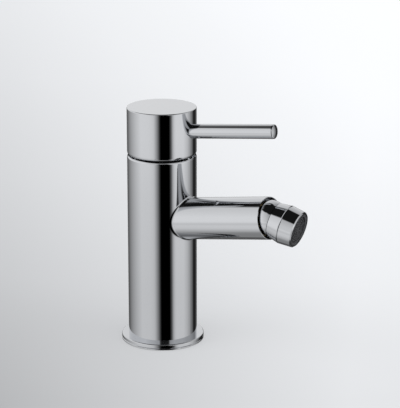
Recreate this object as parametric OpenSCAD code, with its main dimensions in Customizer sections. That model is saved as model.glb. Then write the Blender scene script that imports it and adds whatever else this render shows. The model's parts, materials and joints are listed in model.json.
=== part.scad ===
// Bidet mixer with a pin lever, a straight rising spout and a swivelling aerator.
// Millimetres. The origin is on the body's axis at the deck, +Z is up and the
// spout points towards +X.

/* [Body] */
// Diameter of the body and of the cap that continues it
body_d = 40; // [39:0.5:52]
// Height of the body's top edge above the deck
body_h = 111.4; // [109:0.5:140]
// Radius of the round on the body's top edge, beside the groove
body_edge_r = 1.5; // [0.8:0.1:2]
// Radius of the round on the upper edges of the cap and the flange
edge_r = 0.6; // [0.4:0.1:1.2]
// Bevel on the flange's lower edge and on the spout's rim
edge_bevel = 0.2; // [0.1:0.05:0.3]

/* [Deck and inlets] */
// Diameter of the base flange
flange_d = 48; // [46:0.5:62]
// Height of the flange's top face above the deck
flange_h = 3.7; // [2.6:0.1:6]
// Height of the fine line round the flange above its lower edge
flange_line_h = 1; // [0.7:0.1:1.4]
// Thickness of the gasket under the flange
gasket_t = 1.4; // [1:0.1:1.8]
// Height of the flange's lower edge above the deck
gasket_show = 0.4; // [0.2:0.1:0.8]
// Width of the flange's edge outside the gasket
gasket_inset = 2; // [1:0.1:4]
// Diameter of the body's foot, which passes through the flange
foot_d = 33; // [32:0.5:36]
// Core diameter of the M8 hole for the fixing stud
stud_hole_d = 6.8; // [5:0.1:7]
// Depth of the fixing stud's hole
stud_hole_depth = 14; // [10:1:30]
// Core diameter of the M10 by 1 holes for the supply hoses
hose_hole_d = 9; // [8:0.1:9.2]
// Depth of the hose holes
hose_hole_depth = 16; // [12:1:30]
// Distance between the two hose holes
hose_spacing = 20; // [19:0.5:21]
// Diameter of the waterways from the hose holes up to the cartridge
waterway_d = 5; // [4:0.5:5.5]
// Distance between the two waterways
waterway_spacing = 17; // [16.5:0.5:18]

/* [Cap and lever] */
// Height of the cap
cap_h = 27.7; // [24:0.1:36]
// Width of the groove between the body and the cap
cap_gap = 0.4; // [0.3:0.1:2]
// Radius of the cap's rounded lower edge
cap_edge_r = 2; // [1.5:0.1:2.5]
// Wall of the cap's skirt
cap_wall = 3.5; // [3:0.1:4.5]
// Thickness of the cap's roof
cap_roof = 3.5; // [2.5:0.1:5]
// Diameter of the lever
lever_d = 8.3; // [6.9:0.1:10]
// Length from the body's axis to the lever's tip
lever_reach = 72.4; // [50:0.2:100]
// Height of the lever's axis above the cap's lower rim, at the body's axis
lever_above_rim = 13.3; // [13:0.1:14.5]
// Angle by which the lever rises
lever_rise = 6.4; // [0:0.1:9]
// Angle from the spout to the lever, as the lever is set
lever_aim = 8.4; // [-45:0.1:45]
// Depth of the lever's seat in the cap's side
lever_seat_depth = 2.5; // [1.5:0.1:3]
// Round on the edge of the lever's tip
lever_tip_r = 0.9; // [0.5:0.1:2]
// Height of the shallow dome on the lever's tip
lever_dome_h = 0.5; // [0.3:0.1:1.5]
// Diameter of the lever's threaded end and of the grub screw
lever_thread_d = 6; // [5:0.5:6]
// Length of the lever's threaded end
lever_thread_len = 8; // [5:0.5:8.5]
// Size of the grub screw's hexagon socket, across the flats
grub_hex = 3; // [2.5:0.5:3]
// Angle through which the cap lifts from closed to full flow
lift_max = 20; // [15:1:22]
// Height of the lift pivot above the cap's lower rim
pivot_above_rim = 6; // [5:0.1:7]

/* [Cartridge] */
// Diameter of the cartridge
cartridge_d = 28; // [28:0.2:34]
// Diameter of the cartridge's neck
neck_d = 24; // [23.6:0.2:24.6]
// Wall of the cartridge's housing
housing_wall = 1; // [0.8:0.1:1.2]
// Height of the neck above the retaining nut
neck_h = 4.6; // [3:0.1:5]
// Width of the retaining nut's ledge over the cartridge's edge
nut_ledge = 2; // [1.5:0.1:2.4]
// Thickness of the retaining nut
nut_t = 4; // [3:0.1:4.5]
// Thickness of the housing's roof under the nut
roof_t = 2.2; // [1.5:0.1:2.5]
// Thickness of the rotor's flange
rotor_flange_t = 2.8; // [2.5:0.1:3]
// Height of the rotor's fork above the lift pivot
fork_above_pivot = 2.7; // [2.4:0.1:2.8]
// Half the width of the rotor's fork along the lever
fork_half = 4; // [3.5:0.1:4]
// Thickness of the plate that drives the moving disc
driver_t = 3.3; // [3:0.1:4]
// Thickness of each ceramic disc
disc_t = 3; // [2.5:0.1:3.2]
// Diameter of the moving disc
moving_disc_d = 18.4; // [18:0.2:18.8]
// Diameter of the mixing hollow in the moving disc
mixing_d = 8.4; // [8:0.2:8.8]
// Thickness of the cartridge's base
base_t = 4; // [3.5:0.1:4.2]
// Width of the stem along the lever
stem_w = 7; // [6:0.1:7]
// Thickness of the stem across the lever
stem_t = 6; // [5:0.1:6.2]
// Diameter of the stem's lower arm
arm_d = 3.4; // [3:0.1:3.6]
// Diameter of the ball at the stem's lower end
stem_ball_d = 4.8; // [4.2:0.1:5]
// Diameter of the stem's pivot pin
pin_d = 3; // [2:0.1:3]
// Length of the stem above the lift pivot
stem_above_pivot = 16; // [14:0.5:17]

/* [Spout] */
// Diameter of the spout
spout_d = 24; // [23.8:0.1:30]
// Height at which the spout's axis meets the body's axis
spout_z = 73; // [50:0.5:74]
// Angle by which the spout rises
spout_rise = 10.1; // [0:0.1:12]
// Length of the spout's axis, from the body's axis to the rim
spout_len = 76.2; // [66:0.2:130]
// Diameter of the spout's bore
spout_bore_d = 20.5; // [20:0.1:21]
// Distance from the body's axis to the start of the spout's bore
spout_root = 30; // [29:0.5:32]
// Width and depth of the shadow line where the spout meets the body
root_line = 0.5; // [0.2:0.1:0.8]
// Bore of the spout's mouth, round the ball
nose_d = 22.8; // [22.4:0.1:22.8]
// Chamfer inside the spout's rim, round the ball
rim_chamfer = 0.3; // [0.1:0.1:0.3]
// Diameter of the nipple that joins the spout to the body
nipple_d = 11; // [10:0.5:11.5]
// Bore of the nipple
nipple_bore_d = 8; // [7:0.5:8.5]
// Depth of the nipple in the body
nipple_in_body = 5; // [4:0.5:5]
// Depth of the nipple in the spout
nipple_in_spout = 9; // [6:0.5:9]

/* [Ball joint and aerator] */
// Angle between the aerator and the spout's line, which is also the joint's limit
aerator_tilt = 25; // [15:0.5:25]
// Angle by which the tilted aerator is turned to the spout's left, about the spout's axis
aerator_turn = 18; // [-180:1:180]
// Diameter of the ball-shaped shell at the spout's end
shell_d = 20.6; // [20.4:0.1:21]
// Distance of the ball's centre inside the spout's rim
joint_inset = 0; // [-0.2:0.1:0.5]
// Distance from the ball's centre to the shell's front face, inside the sleeve's skirt
shell_front = 4.2; // [4:0.1:4.6]
// Distance from the ball's centre to the seam between the shell and the sleeve
shell_seam = 2.8; // [2.6:0.1:3.4]
// Diameter of the stud's ball, on which the shell turns
stud_ball_d = 13; // [12.6:0.1:13.2]
// Diameter of the stud's neck
stud_neck_d = 8; // [7.6:0.1:8]
// Bore of the stud
stud_bore_d = 5.6; // [4.6:0.1:5.6]
// Length of the stud's threaded plug
plug_len = 9; // [7:0.5:16]
// Thickness of the seat ring behind the ball
seat_t = 0.8; // [0.6:0.1:0.8]
// Diameter of the thread that joins the sleeve to the shell, and the aerator to the sleeve
sleeve_thread_d = 17; // [16.6:0.1:17.2]
// Diameter of the conical sleeve at its rear edge, which passes the spout's rim when it is tilted
sleeve_back_d = 20; // [19.6:0.1:20]
// Diameter of the sleeve at its front edge
sleeve_d = 22.3; // [21:0.1:22.4]
// Distance from the ball's centre to the sleeve's front edge
sleeve_front = 10.2; // [10:0.1:13]
// Bevel on the edges beside the swivel's seams
seam_bevel = 0.35; // [0.2:0.05:0.4]
// Diameter of the front ring where it meets the sleeve
ring_back_d = 22.2; // [21:0.1:22.4]
// Diameter of the front ring before its bevel
ring_front_d = 20.8; // [20.4:0.1:21]
// Length of the front ring
ring_len = 8.2; // [6:0.1:9]
// Bevel on the front ring's mouth
ring_bevel = 0.6; // [0.3:0.1:0.6]
// Diameter of the front ring's mouth
mouth_d = 18.8; // [17.6:0.1:18.8]
// Depth of the grille inside the mouth
grille_depth = 0.5; // [0.3:0.1:1]
// Thickness of the grille's rim
grille_t = 1.6; // [1.2:0.1:2]
// Width of the grille's flat rim
grille_rim = 1.6; // [1.2:0.1:1.8]
// Depth of the grille's rings and spokes below its rim
grille_recess = 0.4; // [0.2:0.1:0.8]
// Width of the grille's rings and spokes
grille_bar = 0.6; // [0.4:0.05:0.7]
// Rings in the grille inside its rim
grille_rings = 5; // [3:1:6]
// Spokes in the grille
grille_spokes = 8; // [6:1:12]

/* [Clearances] */
// Radial clearance of threads and of fixed pieces in their seats
seat_gap = 0.05; // [0.03:0.01:0.1]
// Radial clearance of the pieces that turn or slide
run_gap = 0.05; // [0.03:0.01:0.1]
// Clearance of the lifted cap from the body's edge and hollow
swing_gap = 0.15; // [0.1:0.05:0.3]
// Clearance between pieces that pass without touching
pass_gap = 0.2; // [0.15:0.05:0.3]

/* [Hidden] */
$fn = 96;

chrome = [0.80, 0.81, 0.83];
brass = [0.78, 0.62, 0.32];
rubber = [0.10, 0.10, 0.11];
ceramic = [0.93, 0.93, 0.90];
grey_plastic = [0.26, 0.26, 0.28];
dark_plastic = [0.16, 0.16, 0.17];
white_plastic = [0.90, 0.90, 0.88];
steel = [0.62, 0.63, 0.65];

// Cuts run past the faces that they open by this much
over = 1;

// Levels of the body and the cap
body_r = body_d / 2;
rim_z = body_h + cap_gap;
cap_top = rim_z + cap_h;
ceiling_z = cap_top - cap_roof;
pivot_z = rim_z + pivot_above_rim;

// The cap's rounded edge swings past the body's top edge and into the hollow below it
edge_centre = [body_r - cap_edge_r, pivot_above_rim - cap_edge_r];
edge_reach = norm(edge_centre) + cap_edge_r;
lip_r = sqrt(edge_reach * edge_reach - pow(pivot_above_rim + cap_gap, 2)) + swing_gap;
edge_dip = edge_centre[0] * sin(lift_max) + edge_centre[1] * cos(lift_max) + cap_edge_r;
dip_gap = 3 * swing_gap;
hollow_z = pivot_z - edge_dip - dip_gap;

// The round on the body's edge runs from its side up to the hollow's lip
lip_round = body_edge_r - (body_r - lip_r);
edge_drop = sqrt(body_edge_r * body_edge_r - lip_round * lip_round);
edge_z = body_h - edge_drop;

// Levels of the cartridge, from the nut down to its seat
nut_z = hollow_z - nut_t;
roof_z = nut_z - roof_t;
rotor_top = roof_z - 2 * run_gap;
rotor_z = rotor_top - rotor_flange_t;
driver_z = rotor_z - pass_gap - driver_t;
moving_z = driver_z - disc_t;
disc_film = 0.02; // water film between the lapped discs
fixed_z = moving_z - disc_film - disc_t;
seat_z = fixed_z - base_t;
neck_z = hollow_z + neck_h;
fork_z = pivot_z + fork_above_pivot;

// Radii of the cartridge
cartridge_r = cartridge_d / 2;
chamber_r = cartridge_r - housing_wall;
neck_r = neck_d / 2;
neck_wall = 1.5;
rotor_r = neck_r - neck_wall - run_gap;
nut_r = cartridge_r + nut_ledge;

// The stem's ball and the travel of the disc that it drives
pin_press = 0.02; // radial clearance of the pin in the fork
tower_wall = 1.1;
tower_r = stem_ball_d / 2 + run_gap + tower_wall;
tower_top = rotor_top - 2 * run_gap;
ball_depth = 1.92; // from the tower's mouth down to the ball's centre
ball_z = tower_top - ball_depth;
arm_len = pivot_z - ball_z;
disc_travel = arm_len * sin(lift_max);
lifted_ball_z = pivot_z - arm_len * cos(lift_max);
socket_z = ball_z - stem_ball_d / 2 - 2 * run_gap;
peg_r = 1.2;
peg_h = 1.2;
peg_offset = 6;

// Ports of the cartridge
port_y = waterway_spacing / 2;
inlet_r = 1.6;
inlet_at = [1.5, 4.5];
outlet_r = 2.4;
outlet_shaft_r = 3.5;
base_port_r = 2.2;
ring_r = 0.7;
inlet_ring_r = 3;
outlet_ring_r = 3.2;
key_r = 1.4;
key_h = 2.2;
key_x = 10.5;

// Lever, grub screw and bosses in the cap
lever_r = lever_d / 2;
thread_r = lever_thread_d / 2;
lever_z = rim_z + lever_above_rim;
lever_seat = body_r - lever_seat_depth;
boss_wall = 2;
boss_r = norm([stem_w, stem_t]) / 2 + boss_wall;
boss_above_fork = 4;
boss_z = fork_z + boss_above_fork;
lever_boss_start = boss_r - boss_wall;
grub_point_r = 1.6;
grub_point_len = 0.8;
grub_start = stem_w / 2 + pass_gap;
grub_gap = 0.4;
grub_end = lever_seat - lever_thread_len - grub_gap;
grub_socket_depth = 2.5;
stem_block_below = 3;

// Spout and its way into the body
spout_r = spout_d / 2;
nipple_r = nipple_d / 2;
passage_r = 4.5;
saddle_gap = 0.02;
plug_r = spout_bore_d / 2 - seat_gap;

// Ball joint: distances run along the spout's or the aerator's axis from the ball's centre
joint_s = spout_len - joint_inset;
shell_r = shell_d / 2;
stud_ball_r = stud_ball_d / 2;
seat_r = stud_ball_r + seat_t;
neck_margin = 1;
mouth_angle = asin(stud_neck_d / stud_ball_d) + aerator_tilt + neck_margin;
seat_band = 18;
plug_face = shell_r * cos(mouth_angle - aerator_tilt) + 2 * pass_gap;
stud_flat = 1.5;
stud_trim = stud_ball_r - stud_flat;
shell_bore_s = joint_s - plug_face;
stud_seal_r = 0.8;
stud_seal_s = shell_bore_s - plug_len / 2;

// Sleeve and aerator
sleeve_thread_r = sleeve_thread_d / 2;
shell_wall = 0.65;
skirt_r = sleeve_thread_r + seat_gap + shell_wall;
spigot_start = pass_gap - seat_r * cos(mouth_angle + seat_band + aerator_tilt);
seal_r = 1;
seal_angle = 45; // the seal lies on the ball half way to its front
seal_at = (stud_ball_r + seal_r + run_gap) * sin(seal_angle);
gland_r = seal_at + seal_r + pass_gap;
web_z = seal_at + seal_r + run_gap;
web_t = 1;
web_hole_r = 4.2;
sleeve_floor = web_z + web_t;
washer_t = 0.9;
washer_hole_r = 4.6;
ring_z = sleeve_floor + washer_t;
ring_front = sleeve_front + ring_len;
insert_wall = 1;
insert_r = sleeve_thread_r - insert_wall;
grille_z = ring_front - grille_depth - grille_t;
grille_r = mouth_d / 2 - seat_gap;
flow_hole_r = 0.6;
flow_holes = 12;
flow_circle_r = 4.5;
flow_plate_t = 1.2;
line_bevel = 0.25;

// Children are drawn along the spout, with Z on its axis from the body's axis
module along_spout() {
    translate([0, 0, spout_z])
        rotate([0, 90 - spout_rise, 0])
            children();
}

// Children are drawn with the origin at the ball's centre and Z along the spout
module at_joint() {
    along_spout()
        translate([0, 0, joint_s])
            children();
}

// Children are drawn with the origin at the ball's centre and Z along the aerator
module along_aerator() {
    at_joint()
        rotate([0, aerator_tilt, aerator_turn])
            children();
}

// Children are drawn with X in the lever's direction
module facing_lever() {
    rotate([0, 0, lever_aim])
        children();
}

// Children are drawn along the lever, with Z on its axis from the body's axis
module along_lever() {
    facing_lever()
        translate([0, 0, lever_z])
            rotate([0, 90 - lever_rise, 0])
                children();
}

// Plain tube standing on Z
module tube(r_out, r_in, z, h) {
    translate([0, 0, z])
        difference() {
            cylinder(r = r_out, h = h);
            translate([0, 0, -over])
                cylinder(r = r_in, h = h + 2 * over);
        }
}

// O-ring of section radius r lying at height z
module o_ring(ring, r, z) {
    translate([0, 0, z])
        rotate_extrude()
            translate([ring, 0])
                circle(r);
}

// Slot with round ends between two points of a plan
module slot(from, to, r, z, h) {
    run = to - from;
    translate([from[0], from[1], z])
        rotate([0, 0, atan2(run[1], run[0])]) {
            cylinder(r = r, h = h);
            translate([norm(run), 0, 0])
                cylinder(r = r, h = h);
            translate([0, -r, 0])
                cube([norm(run), 2 * r, h]);
        }
}

// Quarter of a disc about the origin, above it or below it, for a round edge
module quarter_round(r, below = false) {
    intersection() {
        circle(r);
        translate([0, below ? -r : 0])
            square(r);
    }
}

module base_gasket() {
    color(rubber)
        tube(flange_d / 2 - gasket_inset, foot_d / 2 + pass_gap, 0, gasket_t);
}

module base_flange() {
    r = flange_d / 2;
    recess_r = r - gasket_inset + 2 * seat_gap;
    bore_r = foot_d / 2 + seat_gap;
    line_z = gasket_show + flange_line_h;
    color(chrome)
        rotate_extrude() {
            polygon([
                [bore_r, gasket_t],
                [recess_r, gasket_t],
                [recess_r, gasket_show],
                [r - edge_bevel, gasket_show],
                [r, gasket_show + edge_bevel],
                [r, line_z - line_bevel],
                [r - line_bevel, line_z],
                [r, line_z + line_bevel],
                [r, flange_h - edge_r],
                [r - edge_r, flange_h - edge_r],
                [r - edge_r, flange_h],
                [bore_r, flange_h]
            ]);
            translate([r - edge_r, flange_h - edge_r])
                quarter_round(edge_r);
        }
}

// Turned outline of the body with the hollows for the cap, the nut and the cartridge
module body_blank() {
    rotate_extrude() {
        polygon([
            [0, 0],
            [foot_d / 2, 0],
            [foot_d / 2, flange_h],
            [body_r, flange_h],
            [body_r, edge_z],
            [lip_r, edge_z],
            [lip_r, hollow_z],
            [nut_r + seat_gap, hollow_z],
            [nut_r + seat_gap, nut_z],
            [cartridge_r + 2 * seat_gap, nut_z],
            [cartridge_r + 2 * seat_gap, seat_z],
            [0, seat_z]
        ]);
        intersection() {
            translate([body_r - body_edge_r, edge_z])
                circle(body_edge_r);
            translate([lip_r, edge_z])
                square([body_r - lip_r, edge_drop]);
        }
    }
}

module body() {
    color(chrome)
        difference() {
            body_blank();
            translate([0, 0, -over])
                cylinder(d = stud_hole_d, h = stud_hole_depth + over);
            for (side = [-1, 1]) {
                translate([0, side * hose_spacing / 2, -over])
                    cylinder(d = hose_hole_d, h = hose_hole_depth + over);
                translate([0, side * port_y, hose_hole_depth - over])
                    cylinder(d = waterway_d, h = seat_z - hose_hole_depth + 2 * over);
                translate([side * key_x, 0, seat_z - key_h - pass_gap])
                    cylinder(r = key_r + seat_gap, h = key_h + pass_gap + over);
            }
            translate([0, 0, spout_z])
                cylinder(r = outlet_shaft_r, h = seat_z - spout_z + over);
            along_spout() {
                cylinder(r = passage_r, h = body_r);
                translate([0, 0, body_r - nipple_in_body])
                    cylinder(r = nipple_r + seat_gap, h = nipple_in_body + spout_r);
            }
        }
}

// Turned outline of the spout: root hole, bore, seat of the ball and a chamfered rim
module spout_blank() {
    nose_r = nose_d / 2;
    rotate_extrude()
        polygon([
            [nipple_r + seat_gap, 0],
            [spout_r, 0],
            [spout_r, spout_len - edge_bevel],
            [spout_r - edge_bevel, spout_len],
            [nose_r + rim_chamfer, spout_len],
            [nose_r, spout_len - rim_chamfer],
            [nose_r, shell_bore_s],
            [spout_bore_d / 2, shell_bore_s],
            [spout_bore_d / 2, spout_root],
            [nipple_r + seat_gap, spout_root]
        ]);
}

module spout_tube() {
    color(chrome)
        difference() {
            along_spout()
                spout_blank();
            cylinder(r = body_r + saddle_gap, h = body_h);
            difference() {
                cylinder(r = body_r + root_line, h = body_h);
                along_spout()
                    cylinder(r = spout_r - root_line, h = spout_len);
            }
        }
}

module spout_nipple() {
    start = body_r - nipple_in_body + pass_gap;
    color(brass)
        along_spout()
            tube(nipple_r, nipple_bore_d / 2, start, body_r + nipple_in_spout - start);
}

// Holes of the fixed disc, which the cartridge's base leads to
module disc_ports(z, h) {
    translate([0, 0, z])
        cylinder(r = outlet_r, h = h);
    for (side = [-1, 1])
        translate([inlet_at[0], side * inlet_at[1], z])
            cylinder(r = inlet_r, h = h);
}

module cartridge_base() {
    color(grey_plastic)
        difference() {
            union() {
                translate([0, 0, seat_z])
                    cylinder(r = cartridge_r - seat_gap, h = base_t);
                for (side = [-1, 1])
                    translate([side * key_x, 0, seat_z - key_h])
                        cylinder(r = key_r, h = key_h + over);
            }
            translate([0, 0, seat_z - over])
                cylinder(r = outlet_r, h = base_t + 2 * over);
            tube(outlet_ring_r + ring_r + seat_gap, outlet_ring_r - ring_r - seat_gap,
                seat_z - over, 2 * ring_r + over);
            for (side = [-1, 1]) {
                translate([0, side * port_y, seat_z - over])
                    cylinder(r = base_port_r, h = base_t / 2 + over);
                slot([0, side * port_y], [inlet_at[0], side * inlet_at[1]], inlet_r,
                    seat_z + base_t / 2, base_t);
                translate([0, side * port_y, 0])
                    tube(inlet_ring_r + ring_r + seat_gap, inlet_ring_r - ring_r - seat_gap,
                        seat_z - over, 2 * ring_r + over);
            }
        }
}

module port_seals() {
    color(rubber) {
        o_ring(outlet_ring_r, ring_r, seat_z + ring_r);
        for (side = [-1, 1])
            translate([0, side * port_y, 0])
                o_ring(inlet_ring_r, ring_r, seat_z + ring_r);
    }
}

module fixed_disc() {
    color(ceramic)
        difference() {
            translate([0, 0, fixed_z])
                cylinder(r = chamber_r - seat_gap, h = disc_t);
            disc_ports(fixed_z - over, disc_t + 2 * over);
        }
}

module cartridge_housing() {
    color(grey_plastic)
        rotate_extrude()
            polygon([
                [chamber_r, fixed_z],
                [cartridge_r, fixed_z],
                [cartridge_r, nut_z],
                [neck_r, nut_z],
                [neck_r, neck_z],
                [neck_r - neck_wall, neck_z],
                [neck_r - neck_wall, roof_z],
                [chamber_r, roof_z]
            ]);
}

module retaining_nut() {
    slots = 4;
    slot_w = 3;
    slot_depth = 1.5;
    color(chrome)
        difference() {
            tube(nut_r, neck_r + pass_gap, nut_z, nut_t);
            for (turn = [0 : slots - 1])
                rotate([0, 0, turn * 360 / slots])
                    translate([neck_r, -slot_w / 2, hollow_z - slot_depth])
                        cube([nut_r, slot_w, slot_depth + over]);
        }
}

// Turning piece of the cartridge: flange, neck and the fork that carries the stem
module rotor() {
    stem_slot = stem_t / 2 + run_gap;
    arm_slot = arm_d / 2 + pass_gap;
    arm_swing = (pivot_z - rotor_top) * tan(lift_max);
    tower_slot = tower_r + run_gap;
    ball_slot = stem_ball_d / 2 + pass_gap;
    fork_foot = neck_z + pass_gap;
    color(grey_plastic)
        facing_lever()
            difference() {
                union() {
                    translate([0, 0, rotor_z])
                        cylinder(r = chamber_r - pass_gap, h = rotor_flange_t);
                    translate([0, 0, rotor_z])
                        cylinder(r = rotor_r, h = fork_foot - rotor_z);
                    intersection() {
                        translate([0, 0, neck_z - over])
                            cylinder(r = rotor_r, h = fork_z - neck_z + over);
                        translate([-fork_half, -rotor_r, rotor_z])
                            cube([2 * fork_half, 2 * rotor_r, fork_z - rotor_z]);
                    }
                }
                translate([-rotor_r - over, -stem_slot, fork_foot])
                    cube([2 * rotor_r + 2 * over, 2 * stem_slot, fork_z]);
                slot([0, 0], [arm_swing, 0], arm_slot, rotor_z - over, fork_z);
                slot([0, 0], [disc_travel, 0], tower_slot, rotor_z - over, rotor_flange_t + over);
                slot([0, 0], [disc_travel, 0], ball_slot, rotor_z, lifted_ball_z + ball_slot - rotor_z);
                translate([0, 0, pivot_z])
                    rotate([90, 0, 0])
                        cylinder(d = pin_d + 2 * pin_press, h = 3 * rotor_r, center = true);
            }
}

module pivot_pin() {
    sunk = 1;
    color(steel)
        facing_lever()
            translate([0, 0, pivot_z])
                rotate([90, 0, 0])
                    cylinder(d = pin_d, h = 2 * (rotor_r - sunk), center = true);
}

module stem() {
    color(brass)
        facing_lever()
            difference() {
                union() {
                    translate([-stem_w / 2, -stem_t / 2, pivot_z - stem_block_below])
                        cube([stem_w, stem_t, stem_block_below + stem_above_pivot]);
                    translate([0, 0, ball_z])
                        cylinder(d = arm_d, h = arm_len - stem_block_below + over);
                    translate([0, 0, ball_z])
                        sphere(d = stem_ball_d);
                }
                translate([0, 0, pivot_z])
                    rotate([90, 0, 0])
                        cylinder(d = pin_d + 2 * run_gap, h = 2 * stem_t, center = true);
            }
}

// Turned outline of the cap: rounded edges, hollow inside
module cap_blank() {
    inner_r = body_r - cap_wall;
    rotate_extrude()
        difference() {
            union() {
                polygon([
                    [0, rim_z],
                    [body_r - cap_edge_r, rim_z],
                    [body_r - cap_edge_r, rim_z + cap_edge_r],
                    [body_r, rim_z + cap_edge_r],
                    [body_r, cap_top - edge_r],
                    [body_r - edge_r, cap_top - edge_r],
                    [body_r - edge_r, cap_top],
                    [0, cap_top]
                ]);
                translate([body_r - cap_edge_r, rim_z + cap_edge_r])
                    quarter_round(cap_edge_r, below = true);
                translate([body_r - edge_r, cap_top - edge_r])
                    quarter_round(edge_r);
            }
            translate([0, rim_z - over])
                square([inner_r, ceiling_z - rim_z + over]);
        }
}

module cap() {
    socket = [stem_w + 2 * seat_gap, stem_t + 2 * seat_gap];
    socket_top = pivot_z + stem_above_pivot + pass_gap;
    color(chrome)
        difference() {
            union() {
                cap_blank();
                translate([0, 0, boss_z])
                    cylinder(r = boss_r, h = ceiling_z - boss_z + over);
                along_lever()
                    translate([0, 0, lever_boss_start])
                        cylinder(r = thread_r + boss_wall, h = lever_seat - lever_boss_start);
            }
            facing_lever()
                translate([-socket[0] / 2, -socket[1] / 2, rim_z])
                    cube([socket[0], socket[1], socket_top - rim_z]);
            along_lever() {
                cylinder(r = thread_r, h = body_r);
                translate([0, 0, lever_seat])
                    cylinder(r = lever_r + seat_gap, h = body_r);
            }
        }
}

module lever_rod() {
    straight = lever_reach - lever_seat - lever_dome_h - lever_tip_r;
    face_r = lever_r - lever_tip_r;
    dome_r = (face_r * face_r + lever_dome_h * lever_dome_h) / (2 * lever_dome_h);
    color(chrome)
        along_lever()
            translate([0, 0, lever_seat])
                rotate_extrude() {
                    translate([0, -lever_thread_len])
                        square([thread_r - seat_gap, lever_thread_len + straight]);
                    square([lever_r, straight]);
                    square([face_r, straight + lever_tip_r]);
                    translate([face_r, straight])
                        quarter_round(lever_tip_r);
                    intersection() {
                        translate([0, straight + lever_tip_r + lever_dome_h - dome_r])
                            circle(dome_r);
                        translate([0, straight])
                            square([face_r, lever_tip_r + lever_dome_h]);
                    }
                }
}

module grub_screw() {
    thread_start = grub_start + grub_point_len;
    color(steel)
        along_lever()
            difference() {
                union() {
                    translate([0, 0, grub_start])
                        cylinder(r = grub_point_r, h = grub_point_len + over);
                    translate([0, 0, thread_start])
                        cylinder(r = thread_r - seat_gap, h = grub_end - thread_start);
                }
                translate([0, 0, grub_end - grub_socket_depth])
                    cylinder(d = grub_hex / cos(30), h = grub_socket_depth + over, $fn = 6);
            }
}

module moving_disc() {
    color(ceramic)
        facing_lever()
            translate([-disc_travel / 2, 0, moving_z])
                difference() {
                    cylinder(d = moving_disc_d, h = disc_t);
                    translate([0, 0, -over])
                        cylinder(d = mixing_d, h = disc_t / 2 + over);
                    for (side = [-1, 1])
                        translate([0, side * peg_offset, disc_t - peg_h - pass_gap])
                            cylinder(r = peg_r + seat_gap, h = peg_h + pass_gap + over);
                }
}

module disc_driver() {
    color(white_plastic)
        facing_lever()
            difference() {
                union() {
                    translate([-disc_travel / 2, 0, driver_z]) {
                        cylinder(d = moving_disc_d - 2 * pass_gap, h = driver_t);
                        for (side = [-1, 1])
                            translate([0, side * peg_offset, -peg_h])
                                cylinder(r = peg_r, h = peg_h + over);
                    }
                    translate([0, 0, driver_z])
                        cylinder(r = tower_r, h = tower_top - driver_z);
                }
                translate([0, 0, socket_z])
                    cylinder(r = stem_ball_d / 2 + 2 * run_gap, h = tower_top - socket_z + over);
            }
}

// Hollow stud that is screwed into the spout and ends in the ball of the joint
module swivel_stud() {
    groove_r = plug_r - 2 * stud_seal_r - seat_gap;
    groove_w = 2 * stud_seal_r + 2 * seat_gap;
    color(brass)
        at_joint()
            difference() {
                union() {
                    translate([0, 0, -plug_face - plug_len])
                        cylinder(r = plug_r, h = plug_len);
                    translate([0, 0, -plug_face - over])
                        cylinder(d = stud_neck_d, h = plug_face + over);
                    intersection() {
                        sphere(r = stud_ball_r);
                        translate([0, 0, -stud_ball_r])
                            cylinder(r = stud_ball_r, h = stud_ball_r + stud_trim);
                    }
                }
                translate([0, 0, -plug_face - plug_len - over])
                    cylinder(d = stud_bore_d, h = plug_face + plug_len + stud_ball_r + 2 * over);
                tube(plug_r + over, groove_r, stud_seal_s - joint_s - groove_w / 2, groove_w);
            }
}

module stud_seal() {
    color(rubber)
        along_spout()
            o_ring(plug_r - stud_seal_r, stud_seal_r, stud_seal_s);
}

// Part of a plan between two angles that are measured from the rear of the axis
module rear_wedge(start, end) {
    reach = 2 * shell_r;
    polygon([
        [0, 0],
        [reach * sin(start), -reach * cos(start)],
        [reach * sin(end), -reach * cos(end)]
    ]);
}

module ball_seat_ring() {
    color(white_plastic)
        at_joint()
            rotate_extrude()
                intersection() {
                    difference() {
                        circle(seat_r - run_gap);
                        circle(stud_ball_r + run_gap);
                    }
                    rear_wedge(mouth_angle, mouth_angle + seat_band);
                }
}

// Rear half of the swivel: a ball outside, a seat for the stud's ball inside
module ball_shell() {
    reach = 2 * shell_r;
    color(chrome)
        along_aerator()
            rotate_extrude()
                difference() {
                    intersection() {
                        circle(shell_r);
                        polygon([
                            [0, 0],
                            [reach * sin(mouth_angle), -reach * cos(mouth_angle)],
                            [reach, shell_front],
                            [0, shell_front]
                        ]);
                    }
                    circle(seat_r);
                    square([seat_r, shell_front + over]);
                    translate([0, spigot_start - pass_gap])
                        square([sleeve_thread_r + seat_gap, shell_front]);
                    translate([skirt_r, shell_seam])
                        square([shell_r, shell_front]);
                }
}

module ball_seal() {
    color(rubber)
        along_aerator()
            o_ring(seal_at, seal_r, seal_at);
}

// Conical ring that is screwed into the shell and closes the joint; its skirt covers the thread
module swivel_sleeve() {
    back_r = sleeve_back_d / 2;
    front_r = sleeve_d / 2;
    color(chrome)
        along_aerator()
            rotate_extrude()
                polygon([
                    [skirt_r + seat_gap, shell_seam],
                    [back_r - seam_bevel, shell_seam],
                    [back_r, shell_seam + seam_bevel],
                    [front_r, sleeve_front - seam_bevel],
                    [front_r - seam_bevel, sleeve_front],
                    [sleeve_thread_r + seat_gap, sleeve_front],
                    [sleeve_thread_r + seat_gap, sleeve_floor],
                    [web_hole_r, sleeve_floor],
                    [web_hole_r, web_z],
                    [gland_r, web_z],
                    [gland_r, spigot_start],
                    [sleeve_thread_r, spigot_start],
                    [sleeve_thread_r, shell_front],
                    [skirt_r + seat_gap, shell_front]
                ]);
}

module aerator_washer() {
    color(rubber)
        along_aerator()
            tube(sleeve_thread_r - seat_gap, washer_hole_r, sleeve_floor, washer_t);
}

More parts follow.
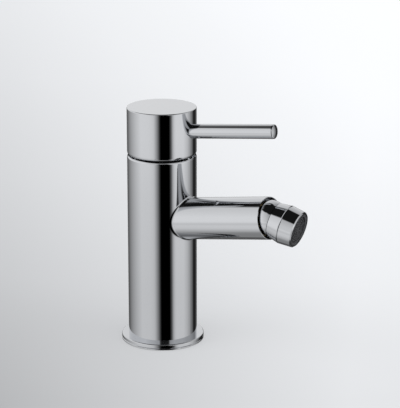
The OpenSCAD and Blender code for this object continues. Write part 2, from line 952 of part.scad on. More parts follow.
// Tapered front ring with the thread that holds it in the sleeve
module aerator_housing() {
    color(chrome)
        along_aerator()
            rotate_extrude()
                polygon([
                    [insert_r, ring_z],
                    [sleeve_thread_r, ring_z],
                    [sleeve_thread_r, sleeve_front],
                    [ring_back_d / 2 - seam_bevel, sleeve_front],
                    [ring_back_d / 2, sleeve_front + seam_bevel],
                    [ring_front_d / 2, ring_front - ring_bevel],
                    [ring_front_d / 2 - ring_bevel, ring_front],
                    [mouth_d / 2, ring_front],
                    [mouth_d / 2, grille_z],
                    [insert_r, grille_z]
                ]);
}

// Insert that breaks the stream: a plate with a circle of holes in a thin cup
module aerator_insert() {
    r = insert_r - seat_gap;
    color(grey_plastic)
        along_aerator()
            difference() {
                translate([0, 0, ring_z])
                    cylinder(r = r, h = grille_z - ring_z);
                translate([0, 0, ring_z + flow_plate_t])
                    cylinder(r = r - insert_wall, h = grille_z);
                for (turn = [0 : flow_holes - 1])
                    rotate([0, 0, turn * 360 / flow_holes])
                        translate([flow_circle_r, 0, ring_z - over])
                            cylinder(r = flow_hole_r, h = flow_plate_t + 2 * over);
            }
}

// Outlet grille: a flat rim on the ring's ledge, with lower rings and spokes inside it
module aerator_grille() {
    rim_in = grille_r - grille_rim;
    pitch = rim_in / (grille_rings + 1);
    bar_h = grille_t - grille_recess;
    color(dark_plastic)
        along_aerator()
            translate([0, 0, grille_z]) {
                tube(grille_r, rim_in, 0, grille_t);
                cylinder(r = pitch / 2, h = bar_h);
                for (ring = [1 : grille_rings])
                    tube(ring * pitch + grille_bar / 2, ring * pitch - grille_bar / 2, 0, bar_h);
                for (turn = [0 : grille_spokes - 1])
                    rotate([0, 0, turn * 360 / grille_spokes])
                        translate([0, -grille_bar / 2, 0])
                            cube([rim_in + grille_rim / 2, grille_bar, bar_h]);
            }
}

base_gasket();
base_flange();
body();
spout_tube();
spout_nipple();
cartridge_base();
port_seals();
fixed_disc();
cartridge_housing();
retaining_nut();
rotor();
pivot_pin();
stem();
cap();
lever_rod();
grub_screw();
moving_disc();
disc_driver();
swivel_stud();
stud_seal();
ball_seat_ring();
ball_shell();
ball_seal();
swivel_sleeve();
aerator_washer();
aerator_housing();
aerator_insert();
aerator_grille();
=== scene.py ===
# %% [markdown]
# # A chromed bidet mixer
# The mixer is a round body on a flange, a cap that tilts and turns with a pin lever, a straight
# spout and a ball-jointed aerator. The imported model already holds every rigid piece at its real
# size. This lesson gives each piece its finish, adds the fine detail that threading, soldering and
# weaving leave behind, and builds a small studio with a tent that draws the stripes in the chrome.

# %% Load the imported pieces
import json
import math

import bpy
from mathutils import Matrix, Vector


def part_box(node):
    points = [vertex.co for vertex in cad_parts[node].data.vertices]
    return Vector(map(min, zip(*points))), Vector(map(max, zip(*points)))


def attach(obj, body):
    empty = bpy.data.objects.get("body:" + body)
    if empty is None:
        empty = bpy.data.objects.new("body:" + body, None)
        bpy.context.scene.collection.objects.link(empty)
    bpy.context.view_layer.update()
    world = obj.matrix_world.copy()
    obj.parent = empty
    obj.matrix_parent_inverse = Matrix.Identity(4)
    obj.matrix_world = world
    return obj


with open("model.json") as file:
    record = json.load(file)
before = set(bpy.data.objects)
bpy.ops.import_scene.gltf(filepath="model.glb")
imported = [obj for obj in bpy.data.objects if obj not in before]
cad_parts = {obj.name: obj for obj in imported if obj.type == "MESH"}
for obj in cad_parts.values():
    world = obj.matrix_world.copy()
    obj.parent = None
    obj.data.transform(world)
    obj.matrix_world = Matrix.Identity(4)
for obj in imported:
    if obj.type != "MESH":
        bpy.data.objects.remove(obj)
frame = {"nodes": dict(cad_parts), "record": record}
nodes = frame["nodes"]
scene = bpy.context.scene
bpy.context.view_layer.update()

# %% [markdown]
# ## Camera
# A product photograph is taken from far away with a long lens, so that upright edges stay upright.
# The camera's place is given in metres in the object's own frame, and it looks at one point, which
# is easier to read than three angles. The focal length is the one at which 408 pixels cover the
# long side of the picture.

# %% Camera at the photograph's angle
PICTURE_SIDE = 408
FOCAL_PIXELS = 1887
SENSOR_SIDE = 36
CAMERA_AT = Vector((0.631, -0.835, 0.390))
CAMERA_AIM = Vector((0.0125, 0.0200, 0.0790))

camera_data = bpy.data.cameras.new("camera")
camera_data.sensor_width = SENSOR_SIDE
camera_data.lens = FOCAL_PIXELS / PICTURE_SIDE * SENSOR_SIDE
camera = bpy.data.objects.new("camera", camera_data)
camera.location = CAMERA_AT
camera.rotation_euler = (CAMERA_AIM - CAMERA_AT).to_track_quat("-Z", "Y").to_euler()
scene.collection.objects.link(camera)
scene.camera = camera
print("lens", round(camera_data.lens, 1), "mm at", round((CAMERA_AIM - CAMERA_AT).length, 3), "m")

# %% [markdown]
# ## Helpers for shader nodes
# Every finish here is a small node tree, so a few helpers keep the cells short. They add a node and
# set its values, link two sockets, make a colour ramp from a list of stops, start an empty material
# and put a mesh into the scene.

# %% Node helpers
def add(tree, kind, inputs=None, **settings):
    """Adds a node, sets its properties, then the values of its input sockets by name or number."""
    node = tree.nodes.new(kind)
    for key, value in settings.items():
        setattr(node, key, value)
    for key, value in (inputs or {}).items():
        node.inputs[key].default_value = value
    return node


def link(tree, source, target):
    """Links an output socket to an input socket."""
    tree.links.new(source, target)


def ramp(tree, factor, stops, tone=(1, 1, 1)):
    """Straight colour ramp in one tone, each stop a place from 0 to 1 and a level."""
    node = add(tree, "ShaderNodeValToRGB")
    node.color_ramp.interpolation = "LINEAR"
    elements = node.color_ramp.elements
    while len(elements) < len(stops):
        elements.new(1)
    for element, (place, level) in zip(elements, stops):
        element.position = place
        element.color = (*(level * part for part in tone), 1)
    link(tree, factor, node.inputs["Fac"])
    return node.outputs["Color"]


def empty_material(name):
    """A material with an empty node tree and its output node."""
    material = bpy.data.materials.new(name)
    material.use_nodes = True
    material.node_tree.nodes.clear()
    output = add(material.node_tree, "ShaderNodeOutputMaterial")
    return material, material.node_tree, output


def link_object(name, mesh):
    """Puts a mesh in the scene as an object at the origin."""
    made = bpy.data.objects.new(name, mesh)
    scene.collection.objects.link(made)
    return made


# %% [markdown]
# ## Backdrop and floor
# The mixer stands on a plain sheet of pale paper. Light and shade are painted into the paper's
# colour: it is grey at the lower left and runs to white at the upper right, following two
# measures: how far a place lies behind the object and how far it lies to the right as the camera
# sees it. The floor is an ordinary matt surface that keeps the object's shadow, and camera rays see
# an extra glow on it that grows the same way, which whitens the background without putting more
# light on the object.

# %% Directions of the picture
away = (CAMERA_AIM - CAMERA_AT) * Vector((1, 1, 0))
away.normalize()
rightward = Vector((away.y, -away.x, 0))
camera_reach = -CAMERA_AT.dot(away)
print("camera stands", round(camera_reach, 3), "m from the body's axis")

# %% Pale floor
FLOOR_SIDE = 12
FLOOR_DROP = 0.00005
NEAREST_REACH = 0.6
SIDE_VIEW = 0.107
DEPTH_RANGE = (-0.10, 1.07)
DEPTH_STOPS = [(0, 0), (0.17, 0.31), (0.38, 0.56), (0.68, 0.82), (1, 1)]
# Painted light and shade: the paper's colour runs from grey at the lower left to white at the upper
# right
PAPER_PAINTED_LIGHT_STOPS = [(0, 0.22), (0.5, 0.37), (0.8, 0.42), (1, 0.42)]
GLOW_STOPS = [
    (0, 0.28), (0.21, 0.38), (0.39, 0.455), (0.51, 0.503), (0.63, 0.556), (0.75, 0.59),
    (0.87, 0.64), (1, 0.66),
]
COLD_WHITE = (0.96, 0.975, 1)
PAPER_ROUGHNESS = 0.8
DEPTH_SHARE = 0.5
SIDE_SHARE = 0.5

floor_mesh = bpy.data.meshes.new("floor")
half = FLOOR_SIDE / 2
corners = [(-half, -half), (half, -half), (half, half), (-half, half)]
floor_mesh.from_pydata([(x, y, -FLOOR_DROP) for x, y in corners], [], [(0, 1, 2, 3)])
floor = link_object("floor", floor_mesh)
paper, tree, output = empty_material("floor_paper")
place = add(tree, "ShaderNodeTexCoord")
depth = add(tree, "ShaderNodeVectorMath", {1: away}, operation="DOT_PRODUCT")
side = add(tree, "ShaderNodeVectorMath", {1: rightward}, operation="DOT_PRODUCT")
link(tree, place.outputs["Object"], depth.inputs[0])
link(tree, place.outputs["Object"], side.inputs[0])
reach = add(tree, "ShaderNodeMapRange", {
    "From Min": NEAREST_REACH - camera_reach, "From Max": FLOOR_SIDE,
    "To Min": NEAREST_REACH, "To Max": FLOOR_SIDE + camera_reach})
link(tree, depth.outputs["Value"], reach.inputs["Value"])
slope = add(tree, "ShaderNodeMath", operation="DIVIDE")
link(tree, side.outputs["Value"], slope.inputs[0])
link(tree, reach.outputs["Result"], slope.inputs[1])
across = add(tree, "ShaderNodeMapRange", {
    "From Min": -SIDE_VIEW, "From Max": SIDE_VIEW, "To Max": SIDE_SHARE})
link(tree, slope.outputs[0], across.inputs["Value"])
behind = add(tree, "ShaderNodeMapRange", {"From Min": DEPTH_RANGE[0], "From Max": DEPTH_RANGE[1]})
link(tree, depth.outputs["Value"], behind.inputs["Value"])
# Painted light and shade along the diagonal from the lower left to the upper right, which sets the
# paper's colour and its glow
painted_light_diagonal = add(tree, "ShaderNodeMath", {1: DEPTH_SHARE}, operation="MULTIPLY_ADD")
link(tree, ramp(tree, behind.outputs["Result"], DEPTH_STOPS), painted_light_diagonal.inputs[0])
link(tree, across.outputs["Result"], painted_light_diagonal.inputs[2])
surface = add(tree, "ShaderNodeBsdfDiffuse", {"Roughness": PAPER_ROUGHNESS})
link(tree, ramp(tree, painted_light_diagonal.outputs[0], PAPER_PAINTED_LIGHT_STOPS, COLD_WHITE), surface.inputs["Color"])
glow = add(tree, "ShaderNodeEmission")
link(tree, ramp(tree, painted_light_diagonal.outputs[0], GLOW_STOPS, COLD_WHITE), glow.inputs["Color"])
path = add(tree, "ShaderNodeLightPath")
link(tree, path.outputs["Is Camera Ray"], glow.inputs["Strength"])
both = add(tree, "ShaderNodeAddShader")
link(tree, surface.outputs[0], both.inputs[0])
link(tree, glow.outputs[0], both.inputs[1])
link(tree, both.outputs[0], output.inputs["Surface"])
floor_mesh.materials.append(paper)
floor.visible_glossy = False
print("floor", FLOOR_SIDE, "m wide")

# %% [markdown]
# ## Plain light
# The world is a pale wall far away. The camera, mirrors and glass are given the wall itself, though
# for mirrors the tent of the next step stands in front of it. Every other surface gets one plain
# white light from it, at a level at which a colour renders about as written.

# %% Pale wall
WALL_SHADE = (0.90, 0.90, 0.91, 1)
PLAIN_LIGHT = 0.80

world = bpy.data.worlds.new("studio")
scene.world = world
world.use_nodes = True
tree = world.node_tree
tree.nodes.clear()
wall = add(tree, "ShaderNodeBackground", {"Color": WALL_SHADE})
light = add(tree, "ShaderNodeBackground", {"Color": (1, 1, 1, 1), "Strength": PLAIN_LIGHT})
path = add(tree, "ShaderNodeLightPath")
seen = add(tree, "ShaderNodeMath", operation="ADD")
shown = add(tree, "ShaderNodeMath", operation="ADD", use_clamp=True)
mix = add(tree, "ShaderNodeMixShader")
output = add(tree, "ShaderNodeOutputWorld")
link(tree, path.outputs["Is Camera Ray"], seen.inputs[0])
link(tree, path.outputs["Is Glossy Ray"], seen.inputs[1])
link(tree, seen.outputs[0], shown.inputs[0])
link(tree, path.outputs["Is Transmission Ray"], shown.inputs[1])
link(tree, shown.outputs[0], mix.inputs["Fac"])
link(tree, light.outputs[0], mix.inputs[1])
link(tree, wall.outputs[0], mix.inputs[2])
link(tree, mix.outputs[0], output.inputs["Surface"])
print("plain light", PLAIN_LIGHT)

# %% [markdown]
# ## The tent that the chrome mirrors
# Chrome has hardly any colour of its own: it shows the room. A photographer puts it in a tent of
# pale cloth and hangs black cards outside the picture, which draw the dark stripes. Here the tent
# is one large sphere that only mirror reflections see. It is so far away that a reflection depends
# on its direction alone, and each point of the sphere gets a level from a few curves. Bearings
# count in degrees from the camera's side, positive to the right, and heights from the horizon.

# %% Curves of the tent
# The skirt lies round the object's foot: pale at both sides, a black card in front, one behind
SKIRT = [
    (-180, 0.14), (-148, 0.13), (-140, 0.22), (-118, 0.43), (-94, 0.64), (-72, 0.81), (-42, 0.80),
    (-31, 0.75), (-25, 0.68), (-19, 0.46), (-13, 0.25), (-7, 0.04), (-3, 0), (26, 0), (32, 0.12),
    (38, 0.54), (44, 0.76), (50, 0.81), (76, 0.81), (94, 0.63), (103, 0.46), (121, 0.15), (128, 0.02),
    (146, 0.02), (156, 0.14), (180, 0.14),
]
# The skirt is a little uneven in height, and painted shade darkens it towards the ground near the
# object's foot
SKIRT_FALL = [
    (-90, 0.6), (-60, 0.6), (-45, 0.88), (-40, 0.97), (-28, 1), (-22, 0.92), (-19, 0.92), (-15, 1),
    (-12, 1.1), (-5, 1.16), (90, 1.16),
]
# Painted shade of the object on the ground right under it, up to one height
GROUND_SHADE = [
    (-180, 0.30), (-120, 0.28), (-90, 0.33), (-75, 0.45), (0, 0.30), (45, 0.20), (75, 0.06), (130, 0.06),
    (165, 0.20), (180, 0.30),
]
GROUND_EDGE = -58
GROUND_SOFT = 8
# Height at which the skirt ends and the wall of the tent begins
SEAM = [
    (-180, 2), (-150, 2), (-130, -8), (-25, -8), (-20, -2), (-8, 24), (20, 24), (32, 10), (60, 5),
    (100, 18), (145, 20), (155, 2), (180, 2),
]
SEAM_SOFT = 8
WALL = [
    (-180, 0.89), (-150, 0.93), (-120, 0.90), (-60, 0.95), (-45, 0.83), (-30, 0.75), (-15, 0.60),
    (8, 0.43), (25, 0.51), (40, 0.68), (70, 0.68), (95, 0.57), (125, 0.50), (140, 0.55), (155, 0.75),
    (180, 0.89),
]
# The wall dims a little towards the roof
WALL_FALL = [(-90, 1), (10, 1), (48, 0.82), (90, 0.82)]
# Height of the dark roof's lower edge, and the roof's level
ROOF_EDGE = [
    (-180, 54), (-165, 53), (-150, 48), (-138, 44), (-128, 42), (-118, 42), (-105, 45), (-80, 49),
    (-30, 48), (-10, 40), (85, 39), (96, 32), (103, 34), (110, 60), (130, 66), (160, 60), (180, 54),
]
ROOF_SOFT = 6
ROOF_LEVEL = 0.01
# A grey lath crosses the roof behind the object, to the left
LATH = [(-180, 0.14), (-100, 0.12), (-85, 0), (150, 0), (180, 0.14)]
LATH_HEIGHT = [(-90, 0), (47, 0), (52, 1), (58, 1), (62, 0), (90, 0)]


def along(stops, place):
    """Value of a curve of straight pieces between its stops."""
    for (start, low), (end, high) in zip(stops, stops[1:]):
        if place <= end:
            return low + (high - low) * (place - start) / (end - start)
    return stops[-1][1]


def soft_step(value, edge, width):
    """Goes smoothly from 0 below an edge to 1 above it."""
    share = min(1, max(0, (value - edge) / width + 0.5))
    return share * share * (3 - 2 * share)


def tent_level(bearing, height):
    """Brightness of the tent in one direction."""
    level = along(SKIRT, bearing) * along(SKIRT_FALL, height)
    wall_level = along(WALL, bearing) * along(WALL_FALL, height)
    # Painted shade of the object on the ground below it
    level += (along(GROUND_SHADE, bearing) - level) * soft_step(-height, -GROUND_EDGE, GROUND_SOFT)
    level += (wall_level - level) * soft_step(height, along(SEAM, bearing), SEAM_SOFT)
    roof_level = ROOF_LEVEL + along(LATH, bearing) * along(LATH_HEIGHT, height)
    level += (roof_level - level) * soft_step(height, along(ROOF_EDGE, bearing), ROOF_SOFT)
    return level


print("tent level to the right", tent_level(90, 0), "and overhead", tent_level(0, 90))

# %% Tent of reflections
TENT_RADIUS = 3.0
TENT_TURNS = 240
TENT_RISES = 120
to_camera = math.atan2(-away.y, -away.x)

verts = []
levels = []
for rise in range(TENT_RISES + 1):
    height = 180 * rise / TENT_RISES - 90
    for turn in range(TENT_TURNS + 1):
        bearing = 360 * turn / TENT_TURNS - 180
        angle = to_camera + math.radians(bearing)
        flat = TENT_RADIUS * math.cos(math.radians(height))
        up = TENT_RADIUS * math.sin(math.radians(height))
        verts.append((flat * math.cos(angle), flat * math.sin(angle), up))
        levels.append(tent_level(bearing, height))
faces = []
for rise in range(TENT_RISES):
    for turn in range(TENT_TURNS):
        first = rise * (TENT_TURNS + 1) + turn
        faces.append((first, first + 1, first + TENT_TURNS + 2, first + TENT_TURNS + 1))
tent_mesh = bpy.data.meshes.new("tent")
tent_mesh.from_pydata(verts, [], faces)
tent_mesh.attributes.new("level", "FLOAT", "POINT").data.foreach_set("value", levels)
cloth, tree, output = empty_material("tent_cloth")
value = add(tree, "ShaderNodeAttribute", attribute_name="level")
shine = add(tree, "ShaderNodeEmission")
link(tree, value.outputs["Fac"], shine.inputs["Color"])
link(tree, shine.outputs[0], output.inputs["Surface"])
tent_mesh.materials.append(cloth)
tent = link_object("tent", tent_mesh)
tent.visible_camera = False
tent.visible_diffuse = False
tent.visible_transmission = False
tent.visible_volume_scatter = False
tent.visible_shadow = False
print("tent of", len(faces), "faces")

# %% [markdown]
# ## Lamps
# Two large soft lamps add a little direction to the plain light, so that rubber and plastic have a
# bright and a dim side and the flange keeps a soft shadow. They are hidden from reflections,
# because the tent already decides what the chrome shows.

# %% Soft lamps
def soft_lamp(name, at, aim, side, watts):
    """Square area lamp that points at a place."""
    data = bpy.data.lights.new(name, "AREA")
    data.size = side
    data.energy = watts
    lamp = bpy.data.objects.new(name, data)
    lamp.location = at
    lamp.rotation_euler = (Vector(aim) - Vector(at)).to_track_quat("-Z", "Y").to_euler()
    lamp.visible_glossy = False
    scene.collection.objects.link(lamp)


LAMP_AIM = (0.03, 0, 0.06)
soft_lamp("lamp_left", (-0.9, -1.1, 1.5), LAMP_AIM, 1.2, 5)
soft_lamp("lamp_right", (1.3, 0.5, 1.6), LAMP_AIM, 1.4, 4)
scene.view_settings.view_transform = "Standard"

# %% [markdown]
# ## Chrome plate
# Polished chrome is a mirror over nickel: neutral, a touch cold, and slightly less than bright.
# A perfect mirror looks like a drawing, so the polish varies: soft clouds where a cloth has wiped,
# hairlines that change the roughness a little, and a faint waviness of the plating.

# %% Finish helpers
def object_texture(tree, kind, scale, stretch=None, **settings):
    """Texture node on Object coordinates, stretched by a Mapping node if asked."""
    place = add(tree, "ShaderNodeTexCoord")
    socket = place.outputs["Object"]
    if stretch:
        mapping = add(tree, "ShaderNodeMapping", {"Scale": stretch})
        link(tree, socket, mapping.inputs["Vector"])
        socket = mapping.outputs["Vector"]
    texture = add(tree, kind, {"Scale": scale}, **settings)
    link(tree, socket, texture.inputs["Vector"])
    return texture


def spread(tree, factor, low, high):
    """Maps a texture's value from 0 and 1 to two other numbers."""
    node = add(tree, "ShaderNodeMapRange", {"To Min": low, "To Max": high})
    link(tree, factor, node.inputs["Value"])
    return node.outputs["Result"]


def tint(tree, factor, dark, light):
    """Mixes two colours by a texture's value."""
    node = add(tree, "ShaderNodeMix", data_type="RGBA")
    colour_sockets = [s for s in node.inputs if s.type == "RGBA"]
    colour_sockets[0].default_value = (*dark, 1)
    colour_sockets[1].default_value = (*light, 1)
    link(tree, factor, node.inputs["Factor"])
    return [s for s in node.outputs if s.type == "RGBA"][0]


def bump(tree, height, depth, strength=1.0):
    """Bump node of a real depth in metres."""
    node = add(tree, "ShaderNodeBump", {"Strength": strength, "Distance": depth})
    link(tree, height, node.inputs["Height"])
    return node.outputs["Normal"]


def principled(name, metallic=0.0):
    """Material with one Principled shader, a metal or not."""
    material, tree, output = empty_material(name)
    shader = add(tree, "ShaderNodeBsdfPrincipled", {"Metallic": metallic})
    link(tree, shader.outputs[0], output.inputs["Surface"])
    return material, tree, shader


# %% Chrome plate
def chrome_plate():
    material, tree, shader = principled("chrome_plate", metallic=1.0)
    clouds = object_texture(tree, "ShaderNodeTexNoise", 45)
    clouds.inputs["Detail"].default_value = 3
    hairs = object_texture(tree, "ShaderNodeTexNoise", 900, (1, 1, 0.06))
    wave = object_texture(tree, "ShaderNodeTexNoise", 420)
    rough = add(tree, "ShaderNodeMath", operation="ADD")
    link(tree, spread(tree, clouds.outputs["Fac"], 0.020, 0.050), rough.inputs[0])
    link(tree, spread(tree, hairs.outputs["Fac"], 0.000, 0.025), rough.inputs[1])
    link(tree, rough.outputs[0], shader.inputs["Roughness"])
    colour = tint(tree, clouds.outputs["Fac"], (0.648, 0.661, 0.686), (0.672, 0.685, 0.709))
    link(tree, colour, shader.inputs["Base Color"])
    link(tree, bump(tree, wave.outputs["Fac"], 0.0000012), shader.inputs["Normal"])
    return material


finishes = {"chrome_plate": chrome_plate()}
print("made", list(finishes))

# %% [markdown]
# ## Brass and steel
# The pieces inside are plain turned brass and a little steel. A lathe leaves fine rings, so the
# roughness and the bump follow rings about the upright axis, while the colour has soft stains.
# Plain steel has straight hairlines.

# %% Turned brass and plain steel
def turned_brass():
    material, tree, shader = principled("turned_brass", metallic=1.0)
    rings = object_texture(tree, "ShaderNodeTexWave", 900, wave_type="RINGS", rings_direction="Z")
    rings.inputs["Distortion"].default_value = 0.6
    stain = object_texture(tree, "ShaderNodeTexNoise", 110)
    colour = tint(tree, stain.outputs["Fac"], (0.68, 0.50, 0.23), (0.82, 0.65, 0.34))
    link(tree, colour, shader.inputs["Base Color"])
    link(tree, spread(tree, rings.outputs["Fac"], 0.22, 0.38), shader.inputs["Roughness"])
    link(tree, bump(tree, rings.outputs["Fac"], 0.000006, 0.4), shader.inputs["Normal"])
    return material


def plain_steel():
    material, tree, shader = principled("plain_steel", metallic=1.0)
    hairs = object_texture(tree, "ShaderNodeTexNoise", 1400, (0.08, 1, 1))
    colour = tint(tree, hairs.outputs["Fac"], (0.52, 0.53, 0.55), (0.70, 0.71, 0.73))
    link(tree, colour, shader.inputs["Base Color"])
    link(tree, spread(tree, hairs.outputs["Fac"], 0.22, 0.40), shader.inputs["Roughness"])
    link(tree, bump(tree, hairs.outputs["Fac"], 0.00001, 0.3), shader.inputs["Normal"])
    return material


finishes["turned_brass"] = turned_brass()
finishes["plain_steel"] = plain_steel()
print("made", list(finishes))

# %% [markdown]
# ## Rubber, plastic and ceramic
# Moulded pieces are matt and carry the fine grain of their mould. Rubber is nearly black with a
# dusty bloom, the cartridge is grey plastic darkened below its own grey as painted shade for the
# gap under the cap, the driver and the seat ring are white plastic, and the lapped ceramic discs
# are smooth and glossy with faint grey clouds. One function makes all of them, because only their
# numbers differ.

# %% Moulded finishes
def moulded(name, dark, light, rough, grain, depth):
    """Matt finish with a clouded colour and a fine grain of a real size and depth in metres."""
    material, tree, shader = principled(name)
    clouds = object_texture(tree, "ShaderNodeTexNoise", 140)
    clouds.inputs["Detail"].default_value = 4
    fine = object_texture(tree, "ShaderNodeTexNoise", 1 / grain)
    fine.inputs["Detail"].default_value = 2
    link(tree, tint(tree, clouds.outputs["Fac"], dark, light), shader.inputs["Base Color"])
    link(tree, spread(tree, fine.outputs["Fac"], rough[0], rough[1]), shader.inputs["Roughness"])
    link(tree, bump(tree, fine.outputs["Fac"], depth, 0.5), shader.inputs["Normal"])
    return material


finishes["black_rubber"] = moulded(
    "black_rubber", (0.018, 0.018, 0.019), (0.045, 0.045, 0.047), (0.62, 0.82), 0.0005, 0.00003)
# Painted shade: the cartridge's own grey is darkened so that the gap under the cap reads dark
finishes["grey_plastic"] = moulded(
    "grey_plastic", (0.035, 0.035, 0.038), (0.060, 0.060, 0.064), (0.42, 0.58), 0.0004, 0.00002)
finishes["dark_plastic"] = moulded(
    "dark_plastic", (0.075, 0.076, 0.080), (0.125, 0.126, 0.132), (0.34, 0.50), 0.0004, 0.00002)
finishes["white_plastic"] = moulded(
    "white_plastic", (0.78, 0.78, 0.76), (0.88, 0.88, 0.86), (0.38, 0.52), 0.0004, 0.00002)
finishes["white_ceramic"] = moulded(
    "white_ceramic", (0.84, 0.84, 0.81), (0.92, 0.92, 0.89), (0.10, 0.18), 0.0003, 0.000004)
print("made", list(finishes))

# %% [markdown]
# ## Finishes on the pieces
# The record names a material slot for every piece, so the finishes go on by that name and no
# piece is forgotten.

# %% Put the finishes on
for part in frame["record"]["subparts"]:
    slots = nodes[part["node"]].material_slots
    for slot in slots:
        slot.material = finishes[part["material_slot"]]

# %% [markdown]
# ## Threads in the foot
# The foot has a threaded hole for the fixing stud and two for the supply hoses. A tap cuts one long
# groove up the hole, so what stays between its turns is a winding ridge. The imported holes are
# plain, and Geometry Nodes winds the ridge in: one tree with named inputs makes a spiral from the
# pitch and the depth, sweeps a three-sided section along it and puts a copy in each hole of a row.
# The sizes are the standard ones, M8 with a pitch of 1.25 mm and M10 with a fine pitch of 1 mm.

# %% Geometry Nodes helpers
def new_tree(name, sockets):
    """Geometry Nodes tree with named inputs; returns it, its input sockets and its output socket."""
    tree = bpy.data.node_groups.new(name, "GeometryNodeTree")
    for socket_name, kind in sockets:
        tree.interface.new_socket(socket_name, in_out="INPUT", socket_type="NodeSocket" + kind)
    tree.interface.new_socket("Geometry", in_out="OUTPUT", socket_type="NodeSocketGeometry")
    source = add(tree, "NodeGroupInput")
    target = add(tree, "NodeGroupOutput")
    return tree, source.outputs, target.inputs["Geometry"]


def calculate(tree, operation, *values):
    """Math node on numbers or sockets; returns its result."""
    node = add(tree, "ShaderNodeMath", operation=operation)
    for socket, value in zip(node.inputs, values):
        if isinstance(value, (int, float)):
            socket.default_value = value
        else:
            link(tree, value, socket)
    return node.outputs["Value"]


def finish_tree(tree, geometry, finish, target):
    """Ends a tree in plain geometry with a finish."""
    plain = add(tree, "GeometryNodeRealizeInstances")
    coat = add(tree, "GeometryNodeSetMaterial")
    link(tree, geometry, plain.inputs["Geometry"])
    link(tree, plain.outputs["Geometry"], coat.inputs["Geometry"])
    link(tree, finish, coat.inputs["Material"])
    link(tree, coat.outputs["Geometry"], target)


def grow(name, tree, values):
    """Runs a tree with its inputs set and returns the plain mesh that it makes."""
    holder = link_object(name, bpy.data.meshes.new(name))
    modifier = holder.modifiers.new("grow", "NODES")
    modifier.node_group = tree
    for item in tree.interface.items_tree:
        if item.in_out == "INPUT":
            modifier[item.identifier] = values[item.name]
    holder.update_tag()
    evaluated = holder.evaluated_get(bpy.context.evaluated_depsgraph_get())
    mesh = bpy.data.meshes.new_from_object(evaluated)
    bpy.data.objects.remove(holder)
    return mesh


# %% Tree for a row of threads
SPIRAL_STEPS = 48

thread_tree, given, target = new_tree("thread_ridges", [
    ("Radius", "Float"), ("Pitch", "Float"), ("Depth", "Float"), ("Ridge", "Float"),
    ("Holes", "Int"), ("First", "Vector"), ("Step", "Vector"), ("Finish", "Material")])
spiral = add(thread_tree, "GeometryNodeCurveSpiral", {"Resolution": SPIRAL_STEPS})
turns = calculate(thread_tree, "DIVIDE", given["Depth"], given["Pitch"])
link(thread_tree, turns, spiral.inputs["Rotations"])
link(thread_tree, given["Radius"], spiral.inputs["Start Radius"])
link(thread_tree, given["Radius"], spiral.inputs["End Radius"])
link(thread_tree, given["Depth"], spiral.inputs["Height"])
section = add(thread_tree, "GeometryNodeCurvePrimitiveCircle", {"Resolution": 3})
link(thread_tree, given["Ridge"], section.inputs["Radius"])
sweep = add(thread_tree, "GeometryNodeCurveToMesh", {"Fill Caps": True})
link(thread_tree, spiral.outputs["Curve"], sweep.inputs["Curve"])
link(thread_tree, section.outputs["Curve"], sweep.inputs["Profile Curve"])
row = add(thread_tree, "GeometryNodeMeshLine")
link(thread_tree, given["Holes"], row.inputs["Count"])
link(thread_tree, given["First"], row.inputs["Start Location"])
link(thread_tree, given["Step"], row.inputs["Offset"])
copies = add(thread_tree, "GeometryNodeInstanceOnPoints")
link(thread_tree, row.outputs["Mesh"], copies.inputs["Points"])
link(thread_tree, sweep.outputs["Mesh"], copies.inputs["Instance"])
finish_tree(thread_tree, copies.outputs["Instances"], given["Finish"], target)
print("thread tree of", len(thread_tree.nodes), "nodes")

# %% Threads of the stud and the hoses
RIDGE = 0.00022
MOUTH = 0.0006

threads = {
    "stud_thread": {
        "Radius": 0.0034, "Pitch": 0.00125, "Depth": 0.0128, "Ridge": RIDGE,
        "Holes": 1, "First": (0, 0, MOUTH), "Step": (0, 0, 0)},
    "hose_threads": {
        "Radius": 0.0045, "Pitch": 0.001, "Depth": 0.0148, "Ridge": RIDGE,
        "Holes": 2, "First": (0, -0.010, MOUTH), "Step": (0, 0.020, 0)},
}
for name, sizes in threads.items():
    mesh = grow(name, thread_tree, {**sizes, "Finish": finishes["turned_brass"]})
    ridge = link_object(name, mesh)
    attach(ridge, "mixer_body")
    print(name, len(mesh.polygons), "faces")

# %% [markdown]
# ## Fillet at the spout's root
# The spout is a tube that is cut to fit round the body. Before plating, the narrow groove between
# the two is filled with solder and dressed to a small hollow fillet, which bends the reflections
# of the body into those of the spout and so draws a thin dark line round the root. Its shape
# follows a rule: it starts on the body where a slightly wider spout would cross it and ends a
# little way out on the spout. Geometry Nodes rolls a flat grid round the spout and bends it there
# with a quadratic curve, whose middle point is the corner itself.

# %% Tree for a fillet where two tubes cross
SEAM_DISTANCE = 0.000001

fillet_tree, given, target = new_tree("root_fillet", [
    ("Body", "Float"), ("Spout", "Float"), ("Tilt", "Float"), ("Level", "Float"), ("Size", "Float"),
    ("Around", "Int"), ("Across", "Int"), ("Finish", "Material")])
sheet = add(fillet_tree, "GeometryNodeMeshGrid", {"Size X": 2 * math.pi, "Size Y": 1})
link(fillet_tree, given["Around"], sheet.inputs["Vertices X"])
link(fillet_tree, given["Across"], sheet.inputs["Vertices Y"])
place = add(fillet_tree, "GeometryNodeInputPosition")
parts = add(fillet_tree, "ShaderNodeSeparateXYZ")
link(fillet_tree, place.outputs["Position"], parts.inputs["Vector"])
share = calculate(fillet_tree, "ADD", parts.outputs["Y"], 0.5)
round_sine = calculate(fillet_tree, "SINE", parts.outputs["X"])
round_cosine = calculate(fillet_tree, "COSINE", parts.outputs["X"])
tilt_sine = calculate(fillet_tree, "SINE", given["Tilt"])
tilt_cosine = calculate(fillet_tree, "COSINE", given["Tilt"])


